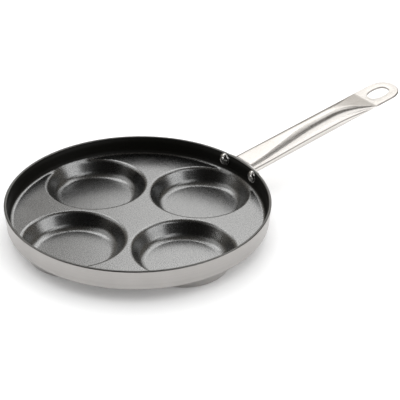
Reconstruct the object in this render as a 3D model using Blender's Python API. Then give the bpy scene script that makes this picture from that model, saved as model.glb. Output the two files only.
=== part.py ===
# Four-cup pancake pan: a pressed round body with four dished cups, a non-stick lining on its inside,
# and a steel tube handle whose bracket is held to the low wall by two rivets.
#
# Frame: +Z up, origin on the body's axis at the underside of the floor between the cups.
# The handle points along +X. Driving dimensions are in millimetres and are scaled to metres once.

import math

import bmesh
import bpy
from mathutils import Vector

MM = 0.001

# Body: the wall leans outwards from its base to its rim
RIM_RADIUS = 130.0
BASE_RADIUS = 128.0
RIM_HEIGHT = 21.0
WALL_THICKNESS = 2.7
FLOOR_THICKNESS = 3.1
INNER_FILLET = 5.0
OUTER_FILLET = 2.0
RIM_ROUNDING = 0.5

# Cups: one in line with the handle, the rest a quarter turn apart
CUP_COUNT = 4
CUP_RING_RADIUS = 74.9
CUP_MOUTH_RADIUS = 52.3
CUP_DEPTH = 15.0
CUP_WALL_ANGLE = math.radians(60.0)
CUP_LIP_FILLET = 5.0
CUP_FOOT_FILLET = 10.0
CUP_HEEL_FILLET = 6.0

# Lining: stops short of the rim's rounding, so the rim stays bare metal
LINING_THICKNESS = 0.3
BARE_BAND = 0.2

# Handle: a round tube, pressed wide and low where it meets the wall and flat at its far end
TUBE_RADIUS = 12.05
TUBE_WALL = 1.1
HANDLE_DROP = 6.7
HANDLE_SLOPE = math.radians(8.85)
MOUTH_HALF_HEIGHT = 6.0
ROUND_START = 101.0
TUBE_LENGTH = 169.0
RAMP_ANGLE = math.radians(16.5)
RAMP_BLEND = 34.0
TAB_LENGTH = 42.4
HOLE_WIDTH = 17.2
HOLE_FROM_FOLD = 6.3
HOLE_FROM_END = 10.1
HOLE_FULLNESS = 2.4

# Bracket: a plate bent round the wall, with two ears for the rivets and a spigot in the tube's mouth
BRACKET_THICKNESS = 2.0
EAR_RADIUS = 4.5
SPIGOT_LENGTH = 9.0

# Rivets: domed inside the pan, closed flat behind the bracket
RIVET_STANDOFF = 3.2
RIVET_SHANK_RADIUS = 2.4
RIVET_HEAD_RADIUS = 6.2
RIVET_HEAD_HEIGHT = 3.1
RIVET_FLANGE = 0.7
RIVET_TAIL_RADIUS = 3.9
RIVET_TAIL_HEIGHT = 1.4

# Fits
CLEARANCE = 0.3

# Mesh density: finer where a cup's lip runs into the wall
MERGE_SHARE = 0.45
MERGE_STEPS = 6
RIM_STEPS = 5
WEB_STEPS = 8
ARC_STEPS = 3
TUBE_SIDE_STEPS = 8
TUBE_FLAT_STEPS = 4
TUBE_STATIONS = 20
ROUND_SEGMENTS = 32

WALL_SLOPE = (RIM_RADIUS - BASE_RADIUS) / RIM_HEIGHT
WALL_LEAN = math.atan(WALL_SLOPE)
LINING_TOP = RIM_HEIGHT - RIM_ROUNDING - BARE_BAND
CUP_HALF_SECTOR = math.pi / CUP_COUNT
MERGE_ANGLE = MERGE_SHARE * CUP_HALF_SECTOR
CUP_TANGENT = math.tan(CUP_WALL_ANGLE / 2)
CORNER_TANGENT = math.tan((math.pi / 2 - WALL_LEAN) / 2)
HANDLE_HEIGHT = RIM_HEIGHT - HANDLE_DROP
RAMP_START = TUBE_LENGTH - (TUBE_RADIUS - TUBE_WALL) / math.tan(RAMP_ANGLE) - RAMP_BLEND / 2
HOLE_LENGTH = TAB_LENGTH - HOLE_FROM_FOLD - HOLE_FROM_END


def outer_radius(z):
    return BASE_RADIUS + z * WALL_SLOPE


def inner_radius(z):
    return outer_radius(z) - WALL_THICKNESS


def cup_shape(lip, foot, corner):
    """A cup's radii, from where its wall and the floor would meet with no rounding between them."""
    flat = corner - CUP_DEPTH / math.tan(CUP_WALL_ANGLE) - foot * CUP_TANGENT
    return {"lip": lip, "foot": foot, "corner": corner, "flat": flat, "mouth": corner + lip * CUP_TANGENT}


INSIDE_CORNER = CUP_MOUTH_RADIUS - CUP_LIP_FILLET * CUP_TANGENT
UNDERSIDE_CORNER = (INSIDE_CORNER - FLOOR_THICKNESS / math.tan(CUP_WALL_ANGLE)
                    + FLOOR_THICKNESS / math.sin(CUP_WALL_ANGLE))
CUP_INSIDE = cup_shape(CUP_LIP_FILLET, CUP_FOOT_FILLET, INSIDE_CORNER)
UNDERSIDE_LIP = max(CUP_LIP_FILLET - FLOOR_THICKNESS, CLEARANCE)
CUP_UNDERSIDE = cup_shape(UNDERSIDE_LIP, CUP_HEEL_FILLET, UNDERSIDE_CORNER)


def cup_drop(cup, radius):
    """How far a cup lies below the floor at this distance from the cup's axis."""
    lip_reach = cup["mouth"] - radius
    foot_reach = radius - cup["flat"]
    if lip_reach <= 0:
        return 0.0
    if foot_reach <= 0:
        return CUP_DEPTH
    if lip_reach < cup["lip"] * math.sin(CUP_WALL_ANGLE):
        return cup["lip"] - math.sqrt(cup["lip"] ** 2 - lip_reach ** 2)
    if foot_reach < cup["foot"] * math.sin(CUP_WALL_ANGLE):
        return CUP_DEPTH - cup["foot"] + math.sqrt(cup["foot"] ** 2 - foot_reach ** 2)
    return (cup["corner"] - radius) * math.tan(CUP_WALL_ANGLE)


def drop_at(cup, x, y):
    """The same depth at a point of the floor, for whichever cup is nearest."""
    sector = 2 * CUP_HALF_SECTOR
    centre_angle = round(math.atan2(y, x) / sector) * sector
    cx = CUP_RING_RADIUS * math.cos(centre_angle)
    cy = CUP_RING_RADIUS * math.sin(centre_angle)
    return cup_drop(cup, math.hypot(x - cx, y - cy))


def cup_rings(cup):
    """Distances from the cup's axis at which its surface has a ring of points, inside out."""
    steps = [CUP_WALL_ANGLE * k / ARC_STEPS for k in range(ARC_STEPS + 1)]
    rings = [cup["flat"] + cup["foot"] * math.sin(a) for a in steps]
    rings += [cup["mouth"] - cup["lip"] * math.sin(a) for a in reversed(steps)]
    return rings


def rim_angles():
    """Angles round the body's axis, from one edge of a cup's sector to the other."""
    half = [MERGE_ANGLE * k / MERGE_STEPS for k in range(MERGE_STEPS)]
    half += [MERGE_ANGLE + (CUP_HALF_SECTOR - MERGE_ANGLE) * k / RIM_STEPS for k in range(RIM_STEPS + 1)]
    return [-angle for angle in reversed(half[1:])] + half


def ring_angles():
    """The same angles all the way round, sector by sector."""
    sectors = [2 * CUP_HALF_SECTOR * k for k in range(CUP_COUNT)]
    return [start + angle for start in sectors for angle in rim_angles()[:-1]]


def wall_slide(cup, fillet, angle):
    """How far the fillet moves inwards at this angle, so that its upper end sinks along the leaning wall.

    It sinks as deep as the cup is there, where a cup's lip runs into the wall, and stays elsewhere.
    """
    low, high = 0.0, CUP_DEPTH
    for _ in range(32):
        middle = (low + high) / 2
        radius = fillet[-1][0] - middle * WALL_SLOPE
        if drop_at(cup, radius * math.cos(angle), radius * math.sin(angle)) > middle:
            low = middle
        else:
            high = middle
    return low * WALL_SLOPE


def sector_rays(cup, fillet):
    """Where rays from a cup's centre, taken all the way round, meet the edge of the cup's sector.

    The sector lies along +X and is bounded by two straight webs and by the fillet's lower edge.
    """
    rays = []
    for angle in rim_angles():
        radius = fillet[0][0] - wall_slide(cup, fillet, angle)
        rays.append((radius * math.cos(angle), radius * math.sin(angle)))
    corner_turn = math.atan2(rays[-1][1], rays[-1][0] - CUP_RING_RADIUS)
    for k in range(1, 2 * WEB_STEPS):
        turn = corner_turn + (2 * math.pi - 2 * corner_turn) * k / (2 * WEB_STEPS)
        side = 1.0 if turn < math.pi else -1.0
        if k == WEB_STEPS:
            rays.append((0.0, 0.0))
            continue
        away = abs(turn - math.pi)
        reach = (CUP_RING_RADIUS * math.sin(away)
                 / math.sin(math.pi - away - CUP_HALF_SECTOR))
        rays.append((reach * math.cos(CUP_HALF_SECTOR), side * reach * math.sin(CUP_HALF_SECTOR)))
    return rays


def floor_sheet(bm, cup, fillet, level):
    """Floor and cups as one sheet of faces, out to the fillet's lower edge."""
    rings = cup_rings(cup)
    flat = cup["flat"]
    for sector in range(CUP_COUNT):
        turn = 2 * CUP_HALF_SECTOR * sector
        columns = []
        for ex, ey in sector_rays(cup, fillet):
            dx, dy = ex - CUP_RING_RADIUS, ey
            reach = math.hypot(dx, dy)
            # Where the sector's edge cuts into the lip, the rings close up towards the flat to fit
            squeeze = min(1.0, (0.97 * reach - flat) / (rings[-1] - flat))
            column = []
            for ring in rings:
                share = (flat + (ring - flat) * squeeze) / reach
                column.append((CUP_RING_RADIUS + dx * share, dy * share))
            column.append((ex, ey))
            columns.append([floor_vert(bm, cup, level, turn, x, y) for x, y in column])
        for k, column in enumerate(columns):
            following = columns[(k + 1) % len(columns)]
            for a, b, c, d in zip(column, column[1:], following[1:], following):
                bm.faces.new((a, b, c, d))
        bm.faces.new([column[0] for column in columns])


def floor_vert(bm, cup, level, turn, x, y):
    px = x * math.cos(turn) - y * math.sin(turn)
    py = x * math.sin(turn) + y * math.cos(turn)
    return bm.verts.new((px, py, level - drop_at(cup, px, py)))


def wall_sheet(bm, cup, fillet, top=None):
    """The fillet's faces, lowered with the cup where they meet, and the wall above up to its top."""
    angles = ring_angles()
    slides = [wall_slide(cup, fillet, angle) for angle in angles]
    rings = []
    for radius, z in fillet:
        ring = []
        for angle, slide in zip(angles, slides):
            x, y = (radius - slide) * math.cos(angle), (radius - slide) * math.sin(angle)
            ring.append(bm.verts.new((x, y, z - drop_at(cup, x, y))))
        rings.append(ring)
    if top:
        radius, z = top
        rings.append([bm.verts.new((radius * math.cos(a), radius * math.sin(a), z)) for a in angles])
    for low, high in zip(rings, rings[1:]):
        bridge(bm, low, high)


def fillet_profile(corner_radius, level, fillet):
    """Points of the round between the floor and the leaning wall, floor first."""
    start = corner_radius - fillet * CORNER_TANGENT
    turn = math.pi / 2 - WALL_LEAN
    angles = [turn * k / ARC_STEPS for k in range(ARC_STEPS + 1)]
    return [(start + fillet * math.sin(a), level + fillet * (1 - math.cos(a))) for a in angles]


def merged(bm):
    """Joins the shared edges of neighbouring sheets, which were written at the same places."""
    bmesh.ops.remove_doubles(bm, verts=bm.verts, dist=0.001)
    bm.normal_update()


def cooking_sheet(depth):
    """The surface that food touches, moved into the metal by this depth, up to the coating's edge."""
    bm = bmesh.new()
    fillet = fillet_profile(inner_radius(FLOOR_THICKNESS), FLOOR_THICKNESS, INNER_FILLET)
    floor_sheet(bm, CUP_INSIDE, fillet, FLOOR_THICKNESS)
    wall_sheet(bm, CUP_INSIDE, fillet, (inner_radius(LINING_TOP), LINING_TOP))
    merged(bm)
    bmesh.ops.recalc_face_normals(bm, faces=bm.faces)
    if sum(face.normal.z for face in bm.faces) < 0:
        bmesh.ops.reverse_faces(bm, faces=bm.faces)
    bm.normal_update()
    moved = []
    for vert in bm.verts:
        if vert.is_boundary:
            outward = Vector((vert.co.x, vert.co.y, 0)).normalized()
            moved.append(vert.co + outward * depth)
        else:
            moved.append(vert.co - vert.normal * depth)
    for vert, place in zip(bm.verts, moved):
        vert.co = place
    return bm


def turn_of(vert):
    """A vertex's angle round the axis, counted from just before +X so that none sits at the seam."""
    return (math.atan2(vert.co.y, vert.co.x) + 0.01) % (2 * math.pi)


def edge_ring(bm):
    """The sheet's open edge, as vertices in order round the axis."""
    return sorted([vert for vert in bm.verts if vert.is_boundary], key=turn_of)


def bridge(bm, ring_a, ring_b):
    for k in range(len(ring_a)):
        following = (k + 1) % len(ring_a)
        bm.faces.new((ring_a[k], ring_a[following], ring_b[following], ring_b[k]))


def add_sheet(bm, sheet):
    """Copies a sheet into bm, and returns its open edge there."""
    copies = {vert: bm.verts.new(vert.co) for vert in sheet.verts}
    for face in sheet.faces:
        bm.faces.new([copies[vert] for vert in face.verts])
    return [copies[vert] for vert in edge_ring(sheet)]


def finish(bm, name, material, smooth_angle=35.0):
    """Makes an object from a closed shape in millimetres."""
    bmesh.ops.recalc_face_normals(bm, faces=bm.faces)
    if bm.calc_volume(signed=True) < 0:
        bmesh.ops.reverse_faces(bm, faces=bm.faces)
    bmesh.ops.scale(bm, vec=(MM, MM, MM), verts=bm.verts)
    mesh = bpy.data.meshes.new(name)
    bm.to_mesh(mesh)
    bm.free()
    mesh.shade_smooth()
    mesh.set_sharp_from_angle(angle=math.radians(smooth_angle))
    obj = bpy.data.objects.new(name, mesh)
    bpy.context.scene.collection.objects.link(obj)
    if material:
        mesh.materials.append(material)
    return obj


def cutter(bm, name):
    obj = finish(bm, name, None)
    obj.hide_render = True
    obj.display_type = "WIRE"
    return obj


def boolean(obj, other, operation="DIFFERENCE"):
    modifier = obj.modifiers.new(other.name, "BOOLEAN")
    modifier.operation = operation
    modifier.solver = "EXACT"
    modifier.object = other


def make_material(name, colour, metallic, roughness):
    material = bpy.data.materials.new(name)
    material.use_nodes = True
    shader = material.node_tree.nodes["Principled BSDF"]
    shader.inputs["Base Color"].default_value = (*colour, 1.0)
    shader.inputs["Metallic"].default_value = metallic
    shader.inputs["Roughness"].default_value = roughness
    material.diffuse_color = (*colour, 1.0)
    return material


def satin_aluminium():
    return make_material("satin_aluminium", (0.56, 0.53, 0.51), 1.0, 0.38)


def nonstick_black():
    return make_material("nonstick_black", (0.012, 0.012, 0.013), 0.0, 0.2)


def handle_steel():
    return make_material("handle_steel", (0.68, 0.66, 0.63), 1.0, 0.24)


def bracket_steel():
    return make_material("bracket_steel", (0.62, 0.61, 0.6), 1.0, 0.32)


def rivet_steel():
    return make_material("rivet_steel", (0.72, 0.71, 0.69), 1.0, 0.15)


def revolve(bm, profile, segments):
    """Turns a profile of (radius, height), which starts and ends on +Z, into a closed shape."""
    rings = []
    for radius, height in profile:
        if radius == 0.0:
            rings.append([bm.verts.new((0, 0, height))])
            continue
        angles = [2 * math.pi * k / segments for k in range(segments)]
        rings.append([bm.verts.new((radius * math.cos(a), radius * math.sin(a), height)) for a in angles])
    for low, high in zip(rings, rings[1:]):
        for k in range(segments):
            following = (k + 1) % segments
            corners = [low[k % len(low)], low[following % len(low)],
                       high[following % len(high)], high[k % len(high)]]
            bm.faces.new(list(dict.fromkeys(corners)))


def place_on_rivet_axis(obj, side):
    """Puts an object's origin on the cooking side of the wall and its +Z outwards, square to the wall."""
    radius = inner_radius(HANDLE_HEIGHT)
    angle = side * math.asin(rivet_reach() / radius)
    lean = math.cos(WALL_LEAN)
    axis = Vector((math.cos(angle) * lean, math.sin(angle) * lean, -math.sin(WALL_LEAN)))
    obj.location = Vector((radius * math.cos(angle), radius * math.sin(angle), HANDLE_HEIGHT)) * MM
    obj.rotation_mode = "QUATERNION"
    obj.rotation_quaternion = Vector((0, 0, 1)).rotation_difference(axis)


def rivet_hole(side):
    """A cutter through the wall, the lining and the bracket."""
    reach = WALL_THICKNESS + BRACKET_THICKNESS + RIVET_HEAD_HEIGHT
    radius = RIVET_SHANK_RADIUS + CLEARANCE
    bm = bmesh.new()
    profile = [(0.0, -reach), (radius, -reach), (radius, 2 * reach), (0.0, 2 * reach)]
    revolve(bm, profile, ROUND_SEGMENTS // 2)
    hole = cutter(bm, f"rivet_hole_{'left' if side > 0 else 'right'}_cut")
    place_on_rivet_axis(hole, side)
    return hole


def make_rivets(material):
    """Head with a thin flange round its dome, shank, and the tail formed behind the bracket."""
    head_gap = CLEARANCE + RIVET_HEAD_RADIUS ** 2 / (2 * inner_radius(HANDLE_HEIGHT))
    stack = WALL_THICKNESS * math.cos(WALL_LEAN) + CLEARANCE + BRACKET_THICKNESS
    dome_radius = RIVET_HEAD_RADIUS - RIVET_FLANGE
    profile = [(0.0, -head_gap - RIVET_HEAD_HEIGHT)]
    dome_steps = 5
    for k in range(1, dome_steps + 1):
        angle = math.pi / 2 * k / dome_steps
        height = (RIVET_HEAD_HEIGHT - RIVET_FLANGE) * math.cos(angle) + RIVET_FLANGE
        profile.append((dome_radius * math.sin(angle), -head_gap - height))
    profile += [(RIVET_HEAD_RADIUS, -head_gap - RIVET_FLANGE), (RIVET_HEAD_RADIUS, -head_gap)]
    profile += [(RIVET_SHANK_RADIUS, -head_gap), (RIVET_SHANK_RADIUS, stack + CLEARANCE)]
    tail = stack + CLEARANCE
    profile += [(RIVET_TAIL_RADIUS, tail), (RIVET_TAIL_RADIUS, tail + RIVET_TAIL_HEIGHT / 2)]
    profile += [(RIVET_TAIL_RADIUS * 0.7, tail + RIVET_TAIL_HEIGHT), (0.0, tail + RIVET_TAIL_HEIGHT)]
    bm = bmesh.new()
    revolve(bm, profile, ROUND_SEGMENTS * 3 // 4)
    left = finish(bm, "rivet_left", material)
    right = bpy.data.objects.new("rivet_right", left.data)
    bpy.context.scene.collection.objects.link(right)
    place_on_rivet_axis(left, 1)
    place_on_rivet_axis(right, -1)


def make_pan_body(holes, material):
    """One pressed sheet: underside, outer wall, rim and the seat of the lining."""
    bm = bmesh.new()
    seat_edge = add_sheet(bm, cooking_sheet(LINING_THICKNESS + CLEARANCE))
    rim = [(inner_radius(LINING_TOP), LINING_TOP),
           (inner_radius(RIM_HEIGHT - RIM_ROUNDING), RIM_HEIGHT - RIM_ROUNDING),
           (inner_radius(RIM_HEIGHT) + RIM_ROUNDING, RIM_HEIGHT),
           (RIM_RADIUS - RIM_ROUNDING, RIM_HEIGHT),
           (outer_radius(RIM_HEIGHT - RIM_ROUNDING), RIM_HEIGHT - RIM_ROUNDING)]
    angles = [math.atan2(vert.co.y, vert.co.x) for vert in seat_edge]
    previous = seat_edge
    for radius, z in rim:
        ring = [bm.verts.new((radius * math.cos(a), radius * math.sin(a), z)) for a in angles]
        bridge(bm, previous, ring)
        previous = ring
    under = bmesh.new()
    fillet = fillet_profile(BASE_RADIUS, 0.0, OUTER_FILLET)
    floor_sheet(under, CUP_UNDERSIDE, fillet, 0.0)
    wall_sheet(under, CUP_UNDERSIDE, fillet)
    merged(under)
    bridge(bm, previous, add_sheet(bm, under))
    body = finish(bm, "pan_body", material)
    for hole in holes:
        boolean(body, hole)


def make_lining(holes, material):
    """The black cooking surface, a thin shell that lies in the body."""
    bm = bmesh.new()
    top_edge = add_sheet(bm, cooking_sheet(0.0))
    under_edge = add_sheet(bm, cooking_sheet(LINING_THICKNESS))
    bridge(bm, top_edge, under_edge)
    lining = finish(bm, "nonstick_lining", material)
    for hole in holes:
        boolean(lining, hole)


def bracket_radius(z, depth):
    """Radius in the bracket at this depth from its inner face, which follows the leaning wall."""
    return outer_radius(z) + (CLEARANCE + depth) / math.cos(WALL_LEAN)


def handle_point(along, across, above):
    """A point of the handle, from its place along the axis, across it and square to both."""
    origin = Vector((outer_radius(HANDLE_HEIGHT), 0.0, HANDLE_HEIGHT))
    forward = Vector((math.cos(HANDLE_SLOPE), 0.0, math.sin(HANDLE_SLOPE)))
    upward = Vector((-math.sin(HANDLE_SLOPE), 0.0, math.cos(HANDLE_SLOPE)))
    return origin + forward * along + Vector((0.0, across, 0.0)) + upward * above


def tube_half_height(along):
    """Half the height of the pressed tube: low at the wall, round in the middle, flat at the fold."""
    t = min(1.0, max(0.0, along / ROUND_START))
    opening = MOUTH_HALF_HEIGHT + (TUBE_RADIUS - MOUTH_HALF_HEIGHT) * (3 * t ** 2 - 2 * t ** 3)
    rise = math.tan(RAMP_ANGLE)
    to_fold = TUBE_LENGTH - along
    into = RAMP_START - along
    if to_fold <= 0:
        closing = TUBE_WALL
    elif into >= 0:
        closing = TUBE_RADIUS
    elif into >= -RAMP_BLEND:
        closing = TUBE_RADIUS - rise * into ** 2 / (2 * RAMP_BLEND)
    else:
        closing = TUBE_WALL + to_fold * rise
    return min(opening, closing)


def flat_half_width(half_height):
    """Half the flat part of a pressed tube whose developed length stays that of the round tube."""
    return math.pi / 2 * (TUBE_RADIUS - half_height)


def rivet_reach():
    """How far each rivet's axis lies to the side of the handle's, with its tail clear of the tube."""
    mouth = flat_half_width(MOUTH_HALF_HEIGHT) + MOUTH_HALF_HEIGHT
    return mouth + RIVET_STANDOFF + RIVET_TAIL_RADIUS


def tube_section(half_height, inset=0.0, limit=None):
    """Points round a pressed tube: a flat on top, a round side, a flat below and the other side."""
    flat = flat_half_width(half_height)
    radius = half_height - inset
    points = []
    for side in (1, -1):
        for k in range(TUBE_SIDE_STEPS + 1):
            angle = math.pi / 2 - math.pi * k / TUBE_SIDE_STEPS
            across = flat + radius * math.cos(angle)
            if limit is not None:
                across = min(across, limit)
            points.append((side * across, side * radius * math.sin(angle)))
        edge = min(flat, limit) if limit is not None else flat
        for k in range(1, TUBE_FLAT_STEPS):
            points.append((side * edge * (1 - 2 * k / TUBE_FLAT_STEPS), -side * radius))
    return points


def tube_stations():
    """Places along the tube, closer together where it flattens."""
    count = TUBE_STATIONS // 2
    places = [RAMP_START * k / count for k in range(1, count + 1)]
    places += [RAMP_START + (TUBE_LENGTH - RAMP_START) * k / count for k in range(1, count + 1)]
    return places


def curved_ring(bm, half_height, inset, depth):
    """A section of the tube or spigot that follows the bracket's curve at this depth from its inner face."""
    ring = []
    for across, above in tube_section(half_height, inset):
        along = 0.0
        for _ in range(12):
            point = handle_point(along, across, above)
            along += bracket_radius(point.z, depth) - math.hypot(point.x, point.y)
        ring.append(bm.verts.new(handle_point(along, across, above)))
    return ring


def station_ring(bm, along, inset=0.0, limit=None):
    half_height = tube_half_height(along)
    section = tube_section(half_height, inset, limit)
    return [bm.verts.new(handle_point(along, across, above)) for across, above in section]


def tab_stations():
    """Places along the tab, and how far it still reaches to each side of its rounded end."""
    half_width = flat_half_width(TUBE_WALL) + TUBE_WALL
    centre = TUBE_LENGTH + TAB_LENGTH - half_width
    last = math.radians(86.0)
    steps = 12
    places = []
    for k in range(steps + 1):
        angle = last * k / steps
        places.append((centre + half_width * math.sin(angle), half_width * math.cos(angle)))
    return places


def fuller(value):
    """Cosine or sine bent so that an ellipse becomes a fuller oval."""
    return math.copysign(abs(value) ** (2 / HOLE_FULLNESS), value)


def hanging_hole():
    """A cutter for the oval hole through the tab."""
    centre = TUBE_LENGTH + HOLE_FROM_FOLD + HOLE_LENGTH / 2
    bm = bmesh.new()
    rings = []
    for above in (-4 * TUBE_WALL, 4 * TUBE_WALL):
        ring = []
        for k in range(ROUND_SEGMENTS):
            angle = 2 * math.pi * (k + 0.5) / ROUND_SEGMENTS
            along = centre + HOLE_LENGTH / 2 * fuller(math.cos(angle))
            ring.append(bm.verts.new(handle_point(along, HOLE_WIDTH / 2 * fuller(math.sin(angle)), above)))
        rings.append(ring)
    bridge(bm, *rings)
    for ring in rings:
        bm.faces.new(ring)
    return cutter(bm, "hanging_hole_cut")


def make_handle(material):
    """A steel tube, open at the bracket and pressed shut towards its flat tab."""
    bm = bmesh.new()
    mouth = BRACKET_THICKNESS + CLEARANCE
    outside = [curved_ring(bm, MOUTH_HALF_HEIGHT, 0.0, mouth)]
    inside = [curved_ring(bm, MOUTH_HALF_HEIGHT, TUBE_WALL, mouth)]
    first = 3 * CLEARANCE + BRACKET_THICKNESS
    for along in tube_stations():
        if along < first:
            continue
        outside.append(station_ring(bm, along))
        if tube_half_height(along) > 1.4 * TUBE_WALL:
            inside.append(station_ring(bm, along, TUBE_WALL))
    for along, limit in tab_stations():
        outside.append(station_ring(bm, along, limit=limit))
    for rings in (outside, inside):
        for low, high in zip(rings, rings[1:]):
            bridge(bm, low, high)
    bridge(bm, outside[0], inside[0])
    bm.faces.new(outside[-1])
    bm.faces.new(inside[-1])
    bmesh.ops.remove_doubles(bm, verts=bm.verts, dist=0.001)
    bmesh.ops.dissolve_degenerate(bm, edges=bm.edges, dist=0.001)
    handle = finish(bm, "handle_tube", material)
    boolean(handle, hanging_hole())


def bracket_outline():
    """A block that trims the bracket's ring to a plate as high as the tube's mouth, with round ears."""
    middle = flat_half_width(MOUTH_HALF_HEIGHT)
    taper = math.atan2(MOUTH_HALF_HEIGHT - EAR_RADIUS, rivet_reach() - middle)
    ear_steps = ROUND_SEGMENTS // 4
    sweep = math.pi - 2 * taper
    ear = [math.pi / 2 - taper - sweep * k / ear_steps for k in range(ear_steps + 1)]
    outline = [(rivet_reach() + EAR_RADIUS * math.cos(a), EAR_RADIUS * math.sin(a)) for a in ear]
    outline += [(middle, -MOUTH_HALF_HEIGHT), (-middle, -MOUTH_HALF_HEIGHT)]
    outline += [(-y, z) for y, z in reversed(outline[:ear_steps + 1])]
    outline += [(-middle, MOUTH_HALF_HEIGHT), (middle, MOUTH_HALF_HEIGHT)]
    bm = bmesh.new()
    rings = []
    for x in (BASE_RADIUS - rivet_reach(), RIM_RADIUS + rivet_reach()):
        rings.append([bm.verts.new((x, y, HANDLE_HEIGHT + z)) for y, z in outline])
    bridge(bm, *rings)
    for ring in rings:
        bm.faces.new(ring)
    return cutter(bm, "bracket_outline_cut")


def spigot():
    """The plug on the bracket that the tube's mouth slides over."""
    bm = bmesh.new()
    inset = TUBE_WALL + CLEARANCE
    rings = [curved_ring(bm, MOUTH_HALF_HEIGHT, inset, BRACKET_THICKNESS / 2)]
    tip = CLEARANCE + BRACKET_THICKNESS + SPIGOT_LENGTH
    section = tube_section(MOUTH_HALF_HEIGHT, inset)
    rings.append([bm.verts.new(handle_point(tip, across, above)) for across, above in section])
    bridge(bm, *rings)
    for ring in rings:
        bm.faces.new(ring)
    return cutter(bm, "spigot_join")


def make_bracket(holes, material):
    """A segment of a ring that follows the wall, trimmed, joined to its spigot and drilled."""
    low = HANDLE_HEIGHT - 2 * MOUTH_HALF_HEIGHT
    high = HANDLE_HEIGHT + 2 * MOUTH_HALF_HEIGHT
    half_angle = math.asin((rivet_reach() + EAR_RADIUS) / BASE_RADIUS) + math.radians(4)
    steps = 12
    bm = bmesh.new()
    slices = []
    for k in range(steps + 1):
        angle = half_angle * (2 * k / steps - 1)
        corners = [(bracket_radius(low, 0.0), low), (bracket_radius(low, BRACKET_THICKNESS), low),
                   (bracket_radius(high, BRACKET_THICKNESS), high), (bracket_radius(high, 0.0), high)]
        slices.append([bm.verts.new((r * math.cos(angle), r * math.sin(angle), z)) for r, z in corners])
    for a, b in zip(slices, slices[1:]):
        bridge(bm, a, b)
    bm.faces.new(slices[0])
    bm.faces.new(slices[-1])
    bracket = finish(bm, "handle_bracket", material)
    boolean(bracket, bracket_outline(), "INTERSECT")
    boolean(bracket, spigot(), "UNION")
    for hole in holes:
        boolean(bracket, hole)


def group_under_empty(name):
    """Parents every piece and cutter to one empty at the origin, so the pan moves as a whole."""
    pieces = list(bpy.context.scene.collection.objects)
    empty = bpy.data.objects.new(name, None)
    bpy.context.scene.collection.objects.link(empty)
    for piece in pieces:
        piece.parent = empty


def clear_scene():
    for obj in list(bpy.data.objects):
        bpy.data.objects.remove(obj, do_unlink=True)


def main():
    clear_scene()
    holes = [rivet_hole(1), rivet_hole(-1)]
    make_pan_body(holes, satin_aluminium())
    make_lining(holes, nonstick_black())
    make_bracket(holes, bracket_steel())
    make_handle(handle_steel())
    make_rivets(rivet_steel())
    group_under_empty("pancake_pan")


main()
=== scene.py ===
# The four-cup pancake pan with its real surfaces: a turned aluminium body with a black speckled
# coating, a bracket, a brushed steel tube handle and two domed rivets, on a pale studio floor.
# Sizes are in millimetres and turned into metres as each mesh is made. The pan's axis is +Z, its
# handle points along +X, and it rests on its four cup bases.

import math

import bmesh
import bpy
from mathutils import Matrix, Vector


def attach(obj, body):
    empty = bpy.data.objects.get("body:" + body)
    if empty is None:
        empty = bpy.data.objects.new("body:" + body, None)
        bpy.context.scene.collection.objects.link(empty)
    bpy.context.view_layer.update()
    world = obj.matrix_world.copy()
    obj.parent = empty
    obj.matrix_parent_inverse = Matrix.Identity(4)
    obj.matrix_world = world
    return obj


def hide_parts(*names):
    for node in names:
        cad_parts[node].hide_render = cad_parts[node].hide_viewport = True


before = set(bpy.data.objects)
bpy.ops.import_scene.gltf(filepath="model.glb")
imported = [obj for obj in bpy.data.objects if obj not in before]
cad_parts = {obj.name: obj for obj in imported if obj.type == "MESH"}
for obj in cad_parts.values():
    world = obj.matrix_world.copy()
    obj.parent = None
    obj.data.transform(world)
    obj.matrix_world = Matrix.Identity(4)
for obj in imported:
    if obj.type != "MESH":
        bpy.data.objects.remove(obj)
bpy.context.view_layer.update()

MM = 0.001

# Body
RIM_RADIUS = 130.0
BASE_RADIUS = 128.0
RIM_HEIGHT = 21.0
WALL_THICKNESS = 2.7
FLOOR_THICKNESS = 3.1
INNER_FILLET = 5.0
OUTER_FILLET = 2.0
RIM_DROP = 1.1
WALL_SLOPE = (RIM_RADIUS - BASE_RADIUS) / RIM_HEIGHT
WALL_LEAN = math.atan(WALL_SLOPE)
CROWN_SHIFT = 0.1
RING_BELOW_RIM = 0.3
RINGS_ABOVE_INNER_FILLET = (0.3, 0.9)
RINGS_ABOVE_OUTER_FILLET = (0.25, 0.8, 4.0, 9.0, 14.0)

# Cups
CUP_COUNT = 4
CUP_SECTOR = 2 * math.pi / CUP_COUNT
CUP_RING_RADIUS = 74.9
CUP_MOUTH_RADIUS = 52.3
CUP_DEPTH = 15.0
CUP_WALL_ANGLE = math.radians(60.0)
CUP_LIP_FILLET = 5.0
CUP_FOOT_FILLET = 10.0
CUP_HEEL_FILLET = 6.0
RINGS_INSIDE_FOOT = (6.0, 0.7, 0.2)
RINGS_PAST_LIP = (0.2, 0.45)
SECTOR_EDGE_GAP = 0.12

# Gap between pieces that touch on the real pan
CLEARANCE = 0.3

# Coating, glossy on the floor and matt above it
LINING_THICKNESS = 0.3
LINING_TOP = 20.3
GLOSS_END = 3.52
MATT_START = 4.5

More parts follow.
